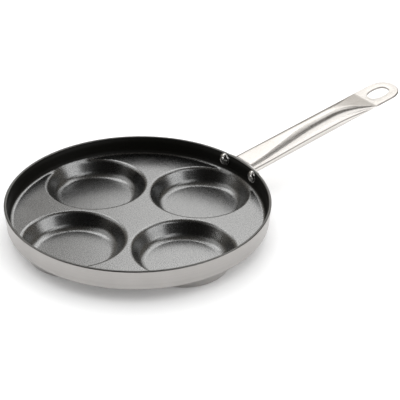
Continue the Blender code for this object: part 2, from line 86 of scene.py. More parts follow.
# Handle
TUBE_RADIUS = 12.05
TUBE_WALL = 1.1
HANDLE_HEIGHT = 14.3
HANDLE_SLOPE = math.radians(8.85)
MOUTH_HALF_HEIGHT = 6.0
ROUND_START = 101.0
TUBE_LENGTH = 169.0
RAMP_ANGLE = math.radians(16.5)
RAMP_BLEND = 34.0
FOLD_BLEND = 1.6
STEP_BEFORE_FOLD = 1.0
HOLLOW_END_HALF_HEIGHT = 1.4 * TUBE_WALL
TAB_LENGTH = 42.4
HOLE_LENGTH = 26.0
HOLE_WIDTH = 17.2
HOLE_FROM_FOLD = 6.3
HOLE_FULLNESS = 2.4
HOLE_ROUNDING = 0.35
# Where the crease runs on each side, dented and darkened with painted shade
CREASE_START_HEIGHT = 1.5
CREASE_FALL = 0.018
CREASE_LOWEST = -0.3
CREASE_END = TUBE_LENGTH - 3.0
CREASE_FADE = 12.0

# Bracket and rivets
BRACKET_THICKNESS = 2.0
BRACKET_ROUNDING = 0.35
EAR_RADIUS = 4.5
SPIGOT_LENGTH = 9.0
SPIGOT_ROOT_DEPTH = 0.2
RIVET_STANDOFF = 3.2
RIVET_SHANK_RADIUS = 2.4
RIVET_HEAD_RADIUS = 6.5
RIVET_HEAD_HEIGHT = 4.0
RIVET_FLANGE = 0.5
RIVET_LEDGE = 0.1
RIVET_TAIL_RADIUS = 3.9
RIVET_TAIL_HEIGHT = 1.4
RIVET_TAIL_EDGE = 0.25 * RIVET_TAIL_HEIGHT
RIVET_TAIL_FLAT = 0.62 * RIVET_TAIL_RADIUS
RIVET_TAIL_CHAMFER = 0.2

# Steps of the finished meshes, their sharp edges, and how near vertices are merged, in metres
RIM_STEPS = 96
WEB_STEPS = 28
ARC_STEPS = 10
RIM_ROUND_STEPS = 9
TUBE_STEPS = 110
FOLD_STEPS = 6
MOUTH_CUT_ROUNDS = 12
SIDE_STEPS = 20
FLAT_STEPS = 10
TAB_SIDE_STEPS = 8
TAB_ROUND_STEPS = 64
HOLE_STEPS = 96
HOLE_ROUND_STEPS = 4
BRACKET_STEPS = 72
BRACKET_ROUND_STEPS = 3
RIVET_STEPS = 48
DOME_STEPS = 14
FLANGE_STEPS = 8
TAIL_STEPS = 8
SHARP_ANGLE = math.radians(35.0)
RIVET_SHARP_ANGLE = math.radians(40.0)
WELD_DISTANCE = 2e-6

# Colours, the darker one first where a finish varies between two
BODY_COLOURS = (0.370, 0.356, 0.344, 1), (0.428, 0.413, 0.399, 1)
RIM_COLOURS = (0.14, 0.14, 0.137, 1), (0.26, 0.257, 0.25, 1)
GLOSSY_COATING_COLOURS = (0.26, 0.265, 0.27, 1), (0.44, 0.44, 0.435, 1)
MATT_COATING_COLOURS = (0.0036, 0.0032, 0.0014, 1), (0.0062, 0.0058, 0.0036, 1)
HANDLE_COLOURS = (0.76, 0.73, 0.695, 1), (0.82, 0.795, 0.765, 1)
HANDLE_GLANCE_TINT = (0.5, 0.48, 0.46, 1)
# Painted shade along the handle's crease
CREASE_SHADE_COLOUR = (0.24, 0.225, 0.21, 1)
# Painted shade on the handle tab's edges
TAB_EDGE_SHADE_COLOUR = (0.33, 0.31, 0.29, 1)
BRACKET_COLOURS = (0.58, 0.57, 0.56, 1), (0.67, 0.66, 0.65, 1)
RIVET_COLOURS = (0.88, 0.87, 0.85, 1), (0.95, 0.94, 0.92, 1)
FLOOR_COLOUR = (0.88, 0.88, 0.88, 1)
WARM_WHITE = (1.0, 0.92, 0.80, 1)
WHITE = (1, 1, 1, 1)

# Photograph's viewpoint, with its place and nearest view in metres and its lens in millimetres
CAMERA_PLACE = (-0.6706, -0.9844, 0.7223)
CAMERA_YAW = math.radians(37.164)
CAMERA_PITCH = math.radians(30.562)
CAMERA_ROLL = math.radians(0.575)
CAMERA_LENS = 127.77
SENSOR_WIDTH = 36.0
NEAREST_VIEW = 0.01

# Studio, in metres, with the tent's levels of light
FLOOR_HEIGHT = -CUP_DEPTH * MM
FLOOR_HALF_WIDTH = 12.0
BACK_AZIMUTH = math.radians(52.0)
SOFTBOX_DISTANCE = 1.25
FLOOR_GLOW = 0.13
TENT_LOW_LEVEL = 0.1
TENT_TOP_LEVEL = 1.8
CEILING_DIMMING = 0.60


def add_camera():
    """The photograph's viewpoint, looking down at the pan with its handle pointing away to the right."""
    data = bpy.data.cameras.new("photo_camera")
    data.lens = CAMERA_LENS
    data.sensor_width = SENSOR_WIDTH
    data.clip_start = NEAREST_VIEW
    camera = bpy.data.objects.new("photo_camera", data)
    bpy.context.scene.collection.objects.link(camera)
    forward = Vector((math.sin(CAMERA_YAW) * math.cos(CAMERA_PITCH),
                      math.cos(CAMERA_YAW) * math.cos(CAMERA_PITCH), -math.sin(CAMERA_PITCH)))
    right = Vector((math.cos(CAMERA_YAW), -math.sin(CAMERA_YAW), 0.0))
    up = right.cross(forward)
    turned_right = math.cos(CAMERA_ROLL) * right + math.sin(CAMERA_ROLL) * up
    turned_up = -math.sin(CAMERA_ROLL) * right + math.cos(CAMERA_ROLL) * up
    columns = Matrix((turned_right, turned_up, -forward)).transposed().to_4x4()
    camera.matrix_world = Matrix.Translation(CAMERA_PLACE) @ columns
    bpy.context.scene.camera = camera


class Value:
    """An output of a node, on which Python's operators add Math nodes."""

    def __init__(self, maker, socket):
        self.maker = maker
        self.socket = socket

    def math(self, operation, *others):
        return self.maker.math(operation, self, *others)

    def __add__(self, other):
        return self.math("ADD", other)

    def __radd__(self, other):
        return self.maker.math("ADD", other, self)

    def __sub__(self, other):
        return self.math("SUBTRACT", other)

    def __rsub__(self, other):
        return self.maker.math("SUBTRACT", other, self)

    def __mul__(self, other):
        return self.math("MULTIPLY", other)

    def __rmul__(self, other):
        return self.maker.math("MULTIPLY", other, self)

    def __truediv__(self, other):
        return self.math("DIVIDE", other)

    def __rtruediv__(self, other):
        return self.maker.math("DIVIDE", other, self)

    def __lt__(self, other):
        return self.math("LESS_THAN", other)


class Maker:
    """Adds nodes to one tree, of a material, of the world or of a shape."""

    def __init__(self, tree):
        self.tree = tree

    def node(self, kind, settings=None, inputs=None, output=0):
        """A node with its settings made first and its sockets set or linked, seen as one of its outputs."""
        made = self.tree.nodes.new(kind)
        for name, value in (settings or {}).items():
            if name == "stops":
                self.set_stops(made.color_ramp, value)
            else:
                setattr(made, name, value)
        self.set_inputs(made, inputs or {})
        return Value(self, made.outputs[output]) if len(made.outputs) else made

    def set_inputs(self, node, inputs):
        """Links the sockets that are given a Value, and sets the others."""
        for key, value in inputs.items():
            if isinstance(value, Value):
                self.tree.links.new(value.socket, node.inputs[key])
            else:
                node.inputs[key].default_value = value

    def set_stops(self, ramp, stops):
        while len(ramp.elements) < len(stops):
            ramp.elements.new(0.5)
        for element, (place, level) in zip(ramp.elements, stops):
            element.position = place
            element.color = (level, level, level, 1.0)

    def math(self, operation, *values):
        return self.node("ShaderNodeMath", {"operation": operation}, dict(enumerate(values)))

    def axes(self, vector):
        """The three numbers of a vector."""
        split = self.node("ShaderNodeSeparateXYZ", inputs={0: vector})
        return [Value(self, socket) for socket in split.socket.node.outputs]

    def vector(self, x, y, z):
        return self.node("ShaderNodeCombineXYZ", inputs={0: x, 1: y, 2: z})

    def mix_colour(self, share, first, second):
        """Two colours mixed, on inputs 6 and 7 and output 2 of a Mix node, which are its colour sockets."""
        return self.node("ShaderNodeMix", {"data_type": "RGBA"}, {0: share, 6: first, 7: second}, 2)

    def noise(self, vector, scale, detail=2.0, roughness=0.5):
        return self.node("ShaderNodeTexNoise", inputs={
            "Vector": vector, "Scale": scale, "Detail": detail, "Roughness": roughness})

    def line_noise(self, place, detail=2.0, roughness=0.5):
        """Noise that changes along one line only."""
        return self.node("ShaderNodeTexNoise", {"noise_dimensions": "1D"}, {
            "W": place, "Scale": 1.0, "Detail": detail, "Roughness": roughness})

    def curve(self, value, *stops):
        """A value bent through stops of (place, level)."""
        return self.node("ShaderNodeValToRGB", {"stops": stops}, {0: value})

    def between(self, value, low, high):
        """How far a value has come from low to high: 0 below low, 1 above high."""
        return self.node("ShaderNodeMapRange", inputs={"Value": value, "From Min": low, "From Max": high})


def new_finish(name):
    """A material's maker, its Principled shader, and its place on the piece in millimetres."""
    material = bpy.data.materials.new(name)
    material.use_nodes = True
    maker = Maker(material.node_tree)
    shader = material.node_tree.nodes["Principled BSDF"]
    place = maker.node("ShaderNodeTexCoord", output="Object")
    scaled = maker.node("ShaderNodeVectorMath", {"operation": "SCALE"}, {0: place, "Scale": 1 / MM})
    return material, maker, shader, scaled


def bump(maker, height, distance):
    """A relief this many millimetres deep, for a shader's normal."""
    return maker.node("ShaderNodeBump", inputs={"Height": height, "Distance": distance * MM})


def turned_aluminium():
    """Satin aluminium with fine turning lines round the pan's axis, and a darker, trimmed rim."""
    material, maker, shader, place = new_finish("turned_aluminium")
    x, y, z = maker.axes(place)
    radius = maker.math("SQRT", x * x + y * y)
    track = z - radius
    angle = maker.math("ARCTAN2", y, x)
    wander = maker.noise(place, 0.03)
    lines = maker.line_noise(track * 4.0 + wander, 3.0, 0.65)
    bands = maker.line_noise(track * 0.45 + angle * 0.05, 2.0)
    clouds = maker.noise(place, 0.035, 3.0)
    tone = maker.between(bands * 0.5 + clouds * 0.5, 0.3, 0.7)
    colour = maker.mix_colour(tone, *BODY_COLOURS)
    on_rim = maker.between(z, LINING_TOP, LINING_TOP + 0.25)
    trimmed = maker.mix_colour(lines, *RIM_COLOURS)
    colour = maker.mix_colour(on_rim, colour, trimmed)
    roughness = 0.25 + bands * 0.08 + lines * 0.06 + on_rim * 0.08
    maker.set_inputs(shader, {"Base Color": colour, "Metallic": 1.0, "Roughness": roughness,
                              "Normal": bump(maker, lines, 0.006)})
    return material


def speckled_coating():
    """Dark non-stick coating with metal flakes in it: glossy on floor and cups, matt black on the wall."""
    material, maker, shader, place = new_finish("speckled_coating")
    _, _, height = maker.axes(place)
    peel = maker.noise(place, 0.55, 2.0, 0.55)
    grain = maker.noise(place, 1.0, 3.0, 0.7)
    flakes = maker.between(grain, 0.40, 0.62)
    clouds = maker.noise(place, 0.05, 2.0)
    relief = bump(maker, peel * 0.7 + grain * 0.3, 0.038)
    maker.set_inputs(shader, {
        "Base Color": maker.mix_colour(flakes, *GLOSSY_COATING_COLOURS), "Metallic": 1.0,
        "Roughness": 0.19 + grain * 0.12 + clouds * 0.04, "Normal": relief})
    specks = maker.between(grain, 0.56, 0.70)
    matt = maker.node("ShaderNodeBsdfPrincipled", inputs={
        "Base Color": maker.mix_colour(specks, *MATT_COATING_COLOURS), "IOR": 1.35,
        "Roughness": 0.42 + grain * 0.2, "Normal": relief})
    glossy = Value(maker, shader.outputs[0])
    on_wall = maker.between(height, GLOSS_END, MATT_START)
    both = maker.node("ShaderNodeMixShader", inputs={0: on_wall, 1: glossy, 2: matt})
    maker.set_inputs(maker.tree.nodes["Material Output"], {"Surface": both})
    return material


def handle_frame(maker, place):
    """Places along the handle, across it and square to both."""
    x, y, z = maker.axes(place)
    from_wall = x - outer_radius(HANDLE_HEIGHT)
    height = z - HANDLE_HEIGHT
    along = from_wall * math.cos(HANDLE_SLOPE) + height * math.sin(HANDLE_SLOPE)
    above = height * math.cos(HANDLE_SLOPE) - from_wall * math.sin(HANDLE_SLOPE)
    return along, y, above


def brushed_handle_steel():
    """Polished stainless steel, faintly brushed along the tube, with the press's crease on each side, dented
    and darkened with painted shade, and painted shade on the tab's edges.
    """
    material, maker, shader, place = new_finish("brushed_handle_steel")
    along, across, above = handle_frame(maker, place)
    hair = maker.noise(maker.vector(along * 0.02, across * 3.0, above * 3.0), 1.0, 3.0, 0.6)
    clouds = maker.noise(maker.vector(along * 0.03, across * 0.12, above * 0.12), 1.0, 2.0)
    tone = maker.between(hair * 0.4 + clouds * 0.6, 0.3, 0.7)
    colour = maker.mix_colour(tone, *HANDLE_COLOURS)
    crease_height = maker.math("MAXIMUM", CREASE_START_HEIGHT - along * CREASE_FALL, CREASE_LOWEST)
    from_crease = maker.math("ABSOLUTE", above - crease_height)
    fading = 1.0 - maker.between(along, CREASE_END - CREASE_FADE, CREASE_END)
    # Painted shade along the crease: a darker colour there, besides the dent that the bump makes
    crease_dent_and_shade = maker.curve(from_crease * 0.5, (0.0, 1.0), (0.25, 0.85), (0.55, 0.0)) * fading
    colour = maker.mix_colour(crease_dent_and_shade, colour, CREASE_SHADE_COLOUR)
    on_tab = maker.between(along, TUBE_LENGTH - 1.0, TUBE_LENGTH + 3.0)
    # Painted shade on the tab's rounded edges, between its two flat faces
    painted_tab_edge_shade = (1.0 - maker.between(maker.math("ABSOLUTE", above), 0.80, 0.98)) * on_tab
    colour = maker.mix_colour(painted_tab_edge_shade, colour, TAB_EDGE_SHADE_COLOUR)
    roughness = 0.20 + hair * 0.08 + clouds * 0.05 + crease_dent_and_shade * 0.1
    relief = bump(maker, hair * 0.006 - crease_dent_and_shade * 0.12, 1.0)
    maker.set_inputs(shader, {"Base Color": colour, "Metallic": 1.0, "Roughness": roughness,
                              "Normal": relief, "Specular Tint": HANDLE_GLANCE_TINT})
    return material


def satin_bracket_steel():
    """Pressed steel left satin, with the grain of the sheet across it."""
    material, maker, shader, place = new_finish("satin_bracket_steel")
    x, y, z = maker.axes(place)
    grain = maker.noise(maker.vector(x * 2.0, y * 0.15, z * 2.5), 1.0, 3.0, 0.6)
    maker.set_inputs(shader, {"Base Color": maker.mix_colour(grain, *BRACKET_COLOURS), "Metallic": 1.0,
                              "Roughness": 0.26 + grain * 0.14, "Normal": bump(maker, grain, 0.01)})
    return material


def polished_rivet_steel():
    """Bright rivet heads with the faint scuffs of the riveting tool."""
    material, maker, shader, place = new_finish("polished_rivet_steel")
    scuffs = maker.noise(place, 0.9, 4.0, 0.65)
    maker.set_inputs(shader, {"Base Color": maker.mix_colour(scuffs, *RIVET_COLOURS), "Metallic": 1.0,
                              "Roughness": 0.16 + scuffs * 0.12, "Normal": bump(maker, scuffs, 0.012)})
    return material


def quarter_turn(steps):
    """Angles from nothing to a right angle."""
    return [math.pi / 2 * k / steps for k in range(steps + 1)]


def half_turn(steps):
    """Angles from straight up, round one side, to straight down."""
    return [math.pi / 2 - math.pi * k / steps for k in range(steps + 1)]


def outer_radius(z):
    return BASE_RADIUS + z * WALL_SLOPE


def inner_radius(z):
    return outer_radius(z) - WALL_THICKNESS


def new_piece(name, bm):
    """An object from a mesh in metres, lying at the origin."""
    mesh = bpy.data.meshes.new(name)
    bm.to_mesh(mesh)
    bm.free()
    piece = bpy.data.objects.new(name, mesh)
    bpy.context.scene.collection.objects.link(piece)
    return piece


def new_shape_tree(name, sizes):
    """An empty Geometry Nodes tree with one named input for each size, and its maker and inputs."""
    tree = bpy.data.node_groups.new(name, "GeometryNodeTree")
    tree.interface.new_socket("Geometry", in_out="INPUT", socket_type="NodeSocketGeometry")
    tree.interface.new_socket("Geometry", in_out="OUTPUT", socket_type="NodeSocketGeometry")
    for size in sizes:
        tree.interface.new_socket(size, in_out="INPUT", socket_type="NodeSocketFloat")
    maker = Maker(tree)
    source = maker.node("NodeGroupInput").socket.node
    return tree, maker, {socket.name: Value(maker, socket) for socket in source.outputs if socket.name}


def end_shape_tree(maker, geometry, material):
    """Every tree ends as plain smooth faces in one material."""
    real = maker.node("GeometryNodeRealizeInstances", inputs={0: geometry})
    smooth = maker.node("GeometryNodeSetShadeSmooth", inputs={0: real})
    dressed = maker.node("GeometryNodeSetMaterial", inputs={0: smooth, "Material": material})
    maker.node("NodeGroupOutput", inputs={0: dressed})


def grow(piece, tree, sizes):
    """Runs a shape tree on a piece with these sizes in metres or radians, and keeps the mesh it makes."""
    modifier = piece.modifiers.new(tree.name, "NODES")
    modifier.node_group = tree
    for item in tree.interface.items_tree:
        if item.in_out == "INPUT" and item.name in sizes:
            modifier[item.identifier] = float(sizes[item.name])
    bpy.context.view_layer.update()
    depsgraph = bpy.context.evaluated_depsgraph_get()
    mesh = bpy.data.meshes.new_from_object(piece.evaluated_get(depsgraph), depsgraph=depsgraph)
    piece.modifiers.remove(modifier)
    blank, piece.data = piece.data, mesh
    mesh.name = piece.name
    bpy.data.meshes.remove(blank)
    for name in ("metal_depth", "foot_fillet"):
        if name in mesh.attributes:
            mesh.attributes.remove(mesh.attributes[name])
    face_outwards(mesh)


def face_outwards(mesh):
    """Turns a mesh's faces outwards, also when the whole shape was inside out."""
    bm = bmesh.new()
    bm.from_mesh(mesh)
    bmesh.ops.recalc_face_normals(bm, faces=bm.faces)
    if bm.calc_volume(signed=True) < 0:
        bmesh.ops.reverse_faces(bm, faces=bm.faces)
    bm.to_mesh(mesh)
    bm.free()


def cup_press(material):
    """Presses the four cups into a plain dish.

    Each vertex knows how deep in the metal it lies below the cooking surface, and how round the
    foot of the cup is at that depth. It sinks by the depth of the nearest cup at that distance
    from the cup's axis: a round lip, a straight slope, a round foot and a flat bottom.
    """
    names = ["Ring radius", "Mouth radius", "Cup depth", "Wall angle", "Lip fillet"]
    tree, maker, size = new_shape_tree("press_cups", names)
    depth, angle = size["Cup depth"], size["Wall angle"]
    metal = maker.node("GeometryNodeInputNamedAttribute", {"data_type": "FLOAT"}, {"Name": "metal_depth"})
    foot = maker.node("GeometryNodeInputNamedAttribute", {"data_type": "FLOAT"}, {"Name": "foot_fillet"})
    x, y, _ = maker.axes(maker.node("GeometryNodeInputPosition"))
    turn = maker.math("ROUND", maker.math("ARCTAN2", y, x) / CUP_SECTOR) * CUP_SECTOR
    away_x = x - size["Ring radius"] * maker.math("COSINE", turn)
    away_y = y - size["Ring radius"] * maker.math("SINE", turn)
    radius = maker.math("SQRT", away_x * away_x + away_y * away_y)
    sine, tangent = maker.math("SINE", angle), maker.math("TANGENT", angle)
    half_tangent = maker.math("TANGENT", angle * 0.5)
    lip = size["Lip fillet"] - metal
    corner = size["Mouth radius"] - size["Lip fillet"] * half_tangent + metal / sine - metal / tangent
    mouth = corner + lip * half_tangent
    flat = corner - depth / tangent - foot * half_tangent
    lip_reach, lip_limit = mouth - radius, lip * sine
    foot_reach, foot_limit = radius - flat, foot * sine
    lip_part = maker.math("MINIMUM", maker.math("MAXIMUM", lip_reach, 0.0), lip_limit)
    foot_part = maker.math("MINIMUM", maker.math("MAXIMUM", foot_reach, 0.0), foot_limit)
    lip_drop = lip - maker.math("SQRT", lip * lip - lip_part * lip_part)
    foot_drop = depth - foot + maker.math("SQRT", foot * foot - foot_part * foot_part)
    slope_drop = (corner - radius) * tangent
    on_lip, on_foot = lip_reach < lip_limit, foot_reach < foot_limit
    inner_drop = on_foot * foot_drop + (1.0 - on_foot) * slope_drop
    drop = on_lip * lip_drop + (1.0 - on_lip) * inner_drop
    pressed = maker.node("GeometryNodeSetPosition", inputs={
        0: size["Geometry"], "Offset": maker.vector(0.0, 0.0, 0.0 - drop)})
    welded = maker.node("GeometryNodeMergeByDistance", inputs={0: pressed, "Distance": WELD_DISTANCE})
    end_shape_tree(maker, welded, material)
    return tree


CUP_SIZES = {"Ring radius": CUP_RING_RADIUS * MM, "Mouth radius": CUP_MOUTH_RADIUS * MM,
             "Cup depth": CUP_DEPTH * MM, "Wall angle": CUP_WALL_ANGLE,
             "Lip fillet": CUP_LIP_FILLET * MM}


class Blank:
    """The plain dish before pressing: sheets and rings of vertices at several depths in the metal."""

    def __init__(self):
        self.bm = bmesh.new()
        self.metal_depth = self.bm.verts.layers.float.new("metal_depth")
        self.foot_fillet = self.bm.verts.layers.float.new("foot_fillet")

    def vert(self, x, y, z, depth, foot):
        made = self.bm.verts.new((x * MM, y * MM, z * MM))
        made[self.metal_depth] = depth * MM
        made[self.foot_fillet] = foot * MM
        return made

    def ring(self, radius, z, depth, foot):
        """A ring of vertices round the pan's axis."""
        return [self.vert(radius * math.cos(a), radius * math.sin(a), z, depth, foot) for a in ring_angles()]

    def rings(self, profile, depth, foot):
        """Rings up a profile of (radius, height), joined to each other."""
        made = [self.ring(radius, z, depth, foot) for radius, z in profile]
        join_rings(self.bm, made)
        return made

    def floor(self, edge_radius, z, depth, foot):
        """A flat floor out to edge_radius, with rings of vertices where each cup will bend it."""
        rings, foot_end = cup_rings(depth, foot)
        for sector in range(CUP_COUNT):
            turn = CUP_SECTOR * sector
            columns = []
            for edge_x, edge_y in sector_rays(edge_radius):
                away_x = edge_x - CUP_RING_RADIUS
                reach = math.hypot(away_x, edge_y)
                column = []
                for ring in fit_rings(rings, foot_end, reach):
                    share = ring / reach
                    column.append((CUP_RING_RADIUS + away_x * share, edge_y * share))
                column.append((edge_x, edge_y))
                columns.append([self.turned(x, y, z, turn, depth, foot) for x, y in column])
            for k, column in enumerate(columns):
                following = columns[(k + 1) % len(columns)]
                for a, b, c, d in zip(column, column[1:], following[1:], following):
                    self.bm.faces.new((a, b, c, d))
            self.bm.faces.new([column[0] for column in columns])

    def turned(self, x, y, z, turn, depth, foot):
        return self.vert(x * math.cos(turn) - y * math.sin(turn),
                         x * math.sin(turn) + y * math.cos(turn), z, depth, foot)


def cup_rings(depth, foot):
    """Distances from a cup's axis where its surface bends at this depth, and where its foot ends."""
    half_tangent = math.tan(CUP_WALL_ANGLE / 2)
    lip = CUP_LIP_FILLET - depth
    corner = (CUP_MOUTH_RADIUS - CUP_LIP_FILLET * half_tangent
              + depth / math.sin(CUP_WALL_ANGLE) - depth / math.tan(CUP_WALL_ANGLE))
    flat = corner - CUP_DEPTH / math.tan(CUP_WALL_ANGLE) - foot * half_tangent
    mouth = corner + lip * half_tangent
    steps = [CUP_WALL_ANGLE * k / ARC_STEPS for k in range(ARC_STEPS + 1)]
    rings = [flat - gap for gap in RINGS_INSIDE_FOOT]
    rings += [flat + foot * math.sin(a) for a in steps]
    foot_end = rings[-1]
    lip_rings = [mouth - lip * math.sin(a) for a in reversed(steps)]
    rings += [(foot_end + lip_rings[0]) / 2] + lip_rings
    rings += [mouth + gap for gap in RINGS_PAST_LIP]
    return rings, foot_end


def fit_rings(rings, foot_end, reach):
    """The same distances, with those past the cup's foot drawn in where the sector's edge is nearer."""
    last = min(rings[-1], reach - SECTOR_EDGE_GAP)
    squeeze = (last - foot_end) / (rings[-1] - foot_end)
    return [ring if ring <= foot_end else foot_end + (ring - foot_end) * squeeze for ring in rings]


def ring_angles():
    """Angles all the way round the pan's axis, from the edge of the first cup's sector."""
    return [CUP_SECTOR * (k / RIM_STEPS - 0.5) for k in range(RIM_STEPS * CUP_COUNT)]


def sector_rays(edge_radius):
    """Where rays from a cup's centre meet the edge of its sector, which lies along +X."""
    half = CUP_SECTOR / 2
    rays = [(edge_radius * math.cos(a), edge_radius * math.sin(a)) for a in ring_angles()[:RIM_STEPS + 1]]
    corner_turn = math.atan2(rays[-1][1], rays[-1][0] - CUP_RING_RADIUS)
    for k in range(1, 2 * WEB_STEPS):
        if k == WEB_STEPS:
            rays.append((0.0, 0.0))
            continue
        turn = corner_turn + (2 * math.pi - 2 * corner_turn) * k / (2 * WEB_STEPS)
        away = abs(turn - math.pi)
        reach = CUP_RING_RADIUS * math.sin(away) / math.sin(math.pi - away - half)
        side = 1.0 if turn < math.pi else -1.0
        rays.append((reach * math.cos(half), side * reach * math.sin(half)))
    return rays


def bend(corner_radius, level, fillet):
    """Points of the round between a floor at this level and the leaning wall, floor first."""
    turn = math.pi / 2 - WALL_LEAN
    start = corner_radius - fillet * math.tan(turn / 2)
    angles = [turn * k / ARC_STEPS for k in range(ARC_STEPS + 1)]
    return [(start + fillet * math.sin(a), level + fillet * (1 - math.cos(a))) for a in angles]


def cooking_profile(depth):
    """The wall's fillet and straight part at this depth in the metal, up to the coating's edge."""
    level = FLOOR_THICKNESS - depth
    offset = depth / math.cos(WALL_LEAN)
    profile = bend(inner_radius(level) + offset, level, INNER_FILLET + depth)
    start = profile[-1][1]
    heights = [start + step for step in RINGS_ABOVE_INNER_FILLET]
    heights += [(start + LINING_TOP) / 2, LINING_TOP]
    return profile + [(inner_radius(z) + offset, z) for z in heights]


def make_lining(material):
    """The cooking surface: floor, cups and wall up to just under the rim."""
    blank = Blank()
    edges = []
    for depth in (0.0, LINING_THICKNESS):
        profile = cooking_profile(depth)
        foot = CUP_FOOT_FILLET + depth
        edge_radius, level = profile[0]
        blank.floor(edge_radius, level, depth, foot)
        edges.append(blank.rings(profile, depth, foot)[-1])
    join_rings(blank.bm, edges)
    lining = new_piece("coated_lining", blank.bm)
    grow(lining, cup_press(material), CUP_SIZES)
    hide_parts("nonstick_lining")
    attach(lining, "root")
    return lining


def rounded_rim():
    """The bare rim's section, from the coating's edge over its rounded top to the outer wall."""
    low = RIM_HEIGHT - RIM_DROP
    crown = (inner_radius(RIM_HEIGHT) + outer_radius(RIM_HEIGHT)) / 2 - CROWN_SHIFT
    turns = quarter_turn(RIM_ROUND_STEPS)
    points = [(crown + (inner_radius(LINING_TOP) - crown) * math.cos(a),
               LINING_TOP + (RIM_HEIGHT - LINING_TOP) * math.sin(a)) for a in turns]
    points += [(crown + (outer_radius(low) - crown) * math.cos(a),
                low + RIM_DROP * math.sin(a)) for a in reversed(turns[:-1])]
    points.append((outer_radius(low - RING_BELOW_RIM), low - RING_BELOW_RIM))
    return points


def make_pan_body(material):
    """The pressed aluminium sheet: seat of the coating, rim, outer wall and underside."""
    blank = Blank()
    depth = LINING_THICKNESS + CLEARANCE
    profile = cooking_profile(depth)
    foot = CUP_FOOT_FILLET + depth
    blank.floor(profile[0][0], profile[0][1], depth, foot)
    seat = blank.rings(profile, depth, foot)
    under = bend(BASE_RADIUS, 0.0, OUTER_FILLET)
    blank.floor(under[0][0], 0.0, FLOOR_THICKNESS, CUP_HEEL_FILLET)
    heights = [under[-1][1] + step for step in RINGS_ABOVE_OUTER_FILLET]
    outside = under + [(outer_radius(z), z) for z in heights]
    shell = blank.rings(outside, FLOOR_THICKNESS, CUP_HEEL_FILLET)
    rim = blank.rings(rounded_rim(), 0.0, CUP_FOOT_FILLET)
    join_rings(blank.bm, [seat[-1], rim[0]])
    join_rings(blank.bm, [rim[-1], shell[-1]])
    body = new_piece("pressed_body", blank.bm)
    grow(body, cup_press(material), CUP_SIZES)
    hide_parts("pan_body")
    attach(body, "root")
    return body


def handle_point(along, across, above):
    """A point of the handle, from its place along the axis, across it and square to both."""
    wall = outer_radius(HANDLE_HEIGHT)
    x = wall + along * math.cos(HANDLE_SLOPE) - above * math.sin(HANDLE_SLOPE)
    z = HANDLE_HEIGHT + along * math.sin(HANDLE_SLOPE) + above * math.cos(HANDLE_SLOPE)
    return Vector((x, across, z))


def tube_half_height(along):
    """Half the tube's height: low at the wall, round in the middle, ramped down to the flat tab."""
    t = min(1.0, max(0.0, along / ROUND_START))
    opening = MOUTH_HALF_HEIGHT + (TUBE_RADIUS - MOUTH_HALF_HEIGHT) * (3 * t ** 2 - 2 * t ** 3)
    rise = math.tan(RAMP_ANGLE)
    ramp_start = TUBE_LENGTH - (TUBE_RADIUS - TUBE_WALL) / rise - RAMP_BLEND / 2
    to_fold = TUBE_LENGTH - along
    into = along - ramp_start
    if into <= 0:
        closing = TUBE_RADIUS
    elif into <= RAMP_BLEND:
        closing = TUBE_RADIUS - rise * into ** 2 / (2 * RAMP_BLEND)
    elif to_fold > FOLD_BLEND:
        closing = TUBE_WALL + to_fold * rise
    elif to_fold > -FOLD_BLEND:
        closing = TUBE_WALL + rise * (to_fold + FOLD_BLEND) ** 2 / (4 * FOLD_BLEND)
    else:
        closing = TUBE_WALL
    return min(opening, closing)


def flat_half_width(half_height):
    """Half the flat part of a pressed tube that keeps the round tube's developed length."""
    return math.pi / 2 * (TUBE_RADIUS - half_height)


def tube_section(half_height, inset=0.0):
    """Points round a pressed tube: round side, flat below, other side, flat on top."""
    flat = flat_half_width(half_height)
    radius = half_height - inset
    points = []
    for side in (1, -1):
        points += [(side * (flat + radius * math.cos(a)), side * radius * math.sin(a))
                   for a in half_turn(SIDE_STEPS)]
        for k in range(1, FLAT_STEPS):
            points.append((side * flat * (1 - 2 * k / FLAT_STEPS), -side * radius))
    return points


def bracket_radius(z, depth):
    """Radius in the bracket at this depth from its inner face, which follows the leaning wall."""
    return outer_radius(z) + (CLEARANCE + depth) / math.cos(WALL_LEAN)


def curved_section(inset, depth):
    """The tube's mouth section, cut to the bracket's curve at this depth from its inner face.

    Each round slides a point along the handle by the distance that it still lacks to the curve.
    """
    points = []
    for across, above in tube_section(MOUTH_HALF_HEIGHT, inset):
        along = 0.0
        for _ in range(MOUTH_CUT_ROUNDS):
            point = handle_point(along, across, above)
            along += bracket_radius(point.z, depth) - math.hypot(point.x, point.y)
        points.append(handle_point(along, across, above))
    return points


def add_ring(bm, points):
    return [bm.verts.new(point * MM) for point in points]


def tube_ring(bm, along, half_height, inset=0.0):
    """A ring of vertices round the tube at this place."""
    return add_ring(bm, [handle_point(along, *spot) for spot in tube_section(half_height, inset)])


def join_rings(bm, rings, closed=True):
    for first, second in zip(rings, rings[1:]):
        last = len(first) if closed else len(first) - 1
        for k in range(last):
            following = (k + 1) % len(first)
            bm.faces.new((first[k], first[following], second[following], second[k]))


def tab_outline(half_width):
    """The tab's edge as places along and across, from the fold round its rounded end and back."""
    centre = TUBE_LENGTH + TAB_LENGTH - flat_half_width(TUBE_WALL) - TUBE_WALL
    start = TUBE_LENGTH + FOLD_BLEND
    side = [start + (centre - start) * k / TAB_SIDE_STEPS for k in range(TAB_SIDE_STEPS)]
    points = [(along, half_width) for along in side]
    points += [(centre + half_width * math.cos(a), half_width * math.sin(a))
               for a in half_turn(TAB_ROUND_STEPS)]
    points += [(along, -half_width) for along in reversed(side)]
    return points


def fuller(share):
    """A sine or cosine that makes an oval fuller than an ellipse."""
    return math.copysign(abs(share) ** (2 / HOLE_FULLNESS), share)


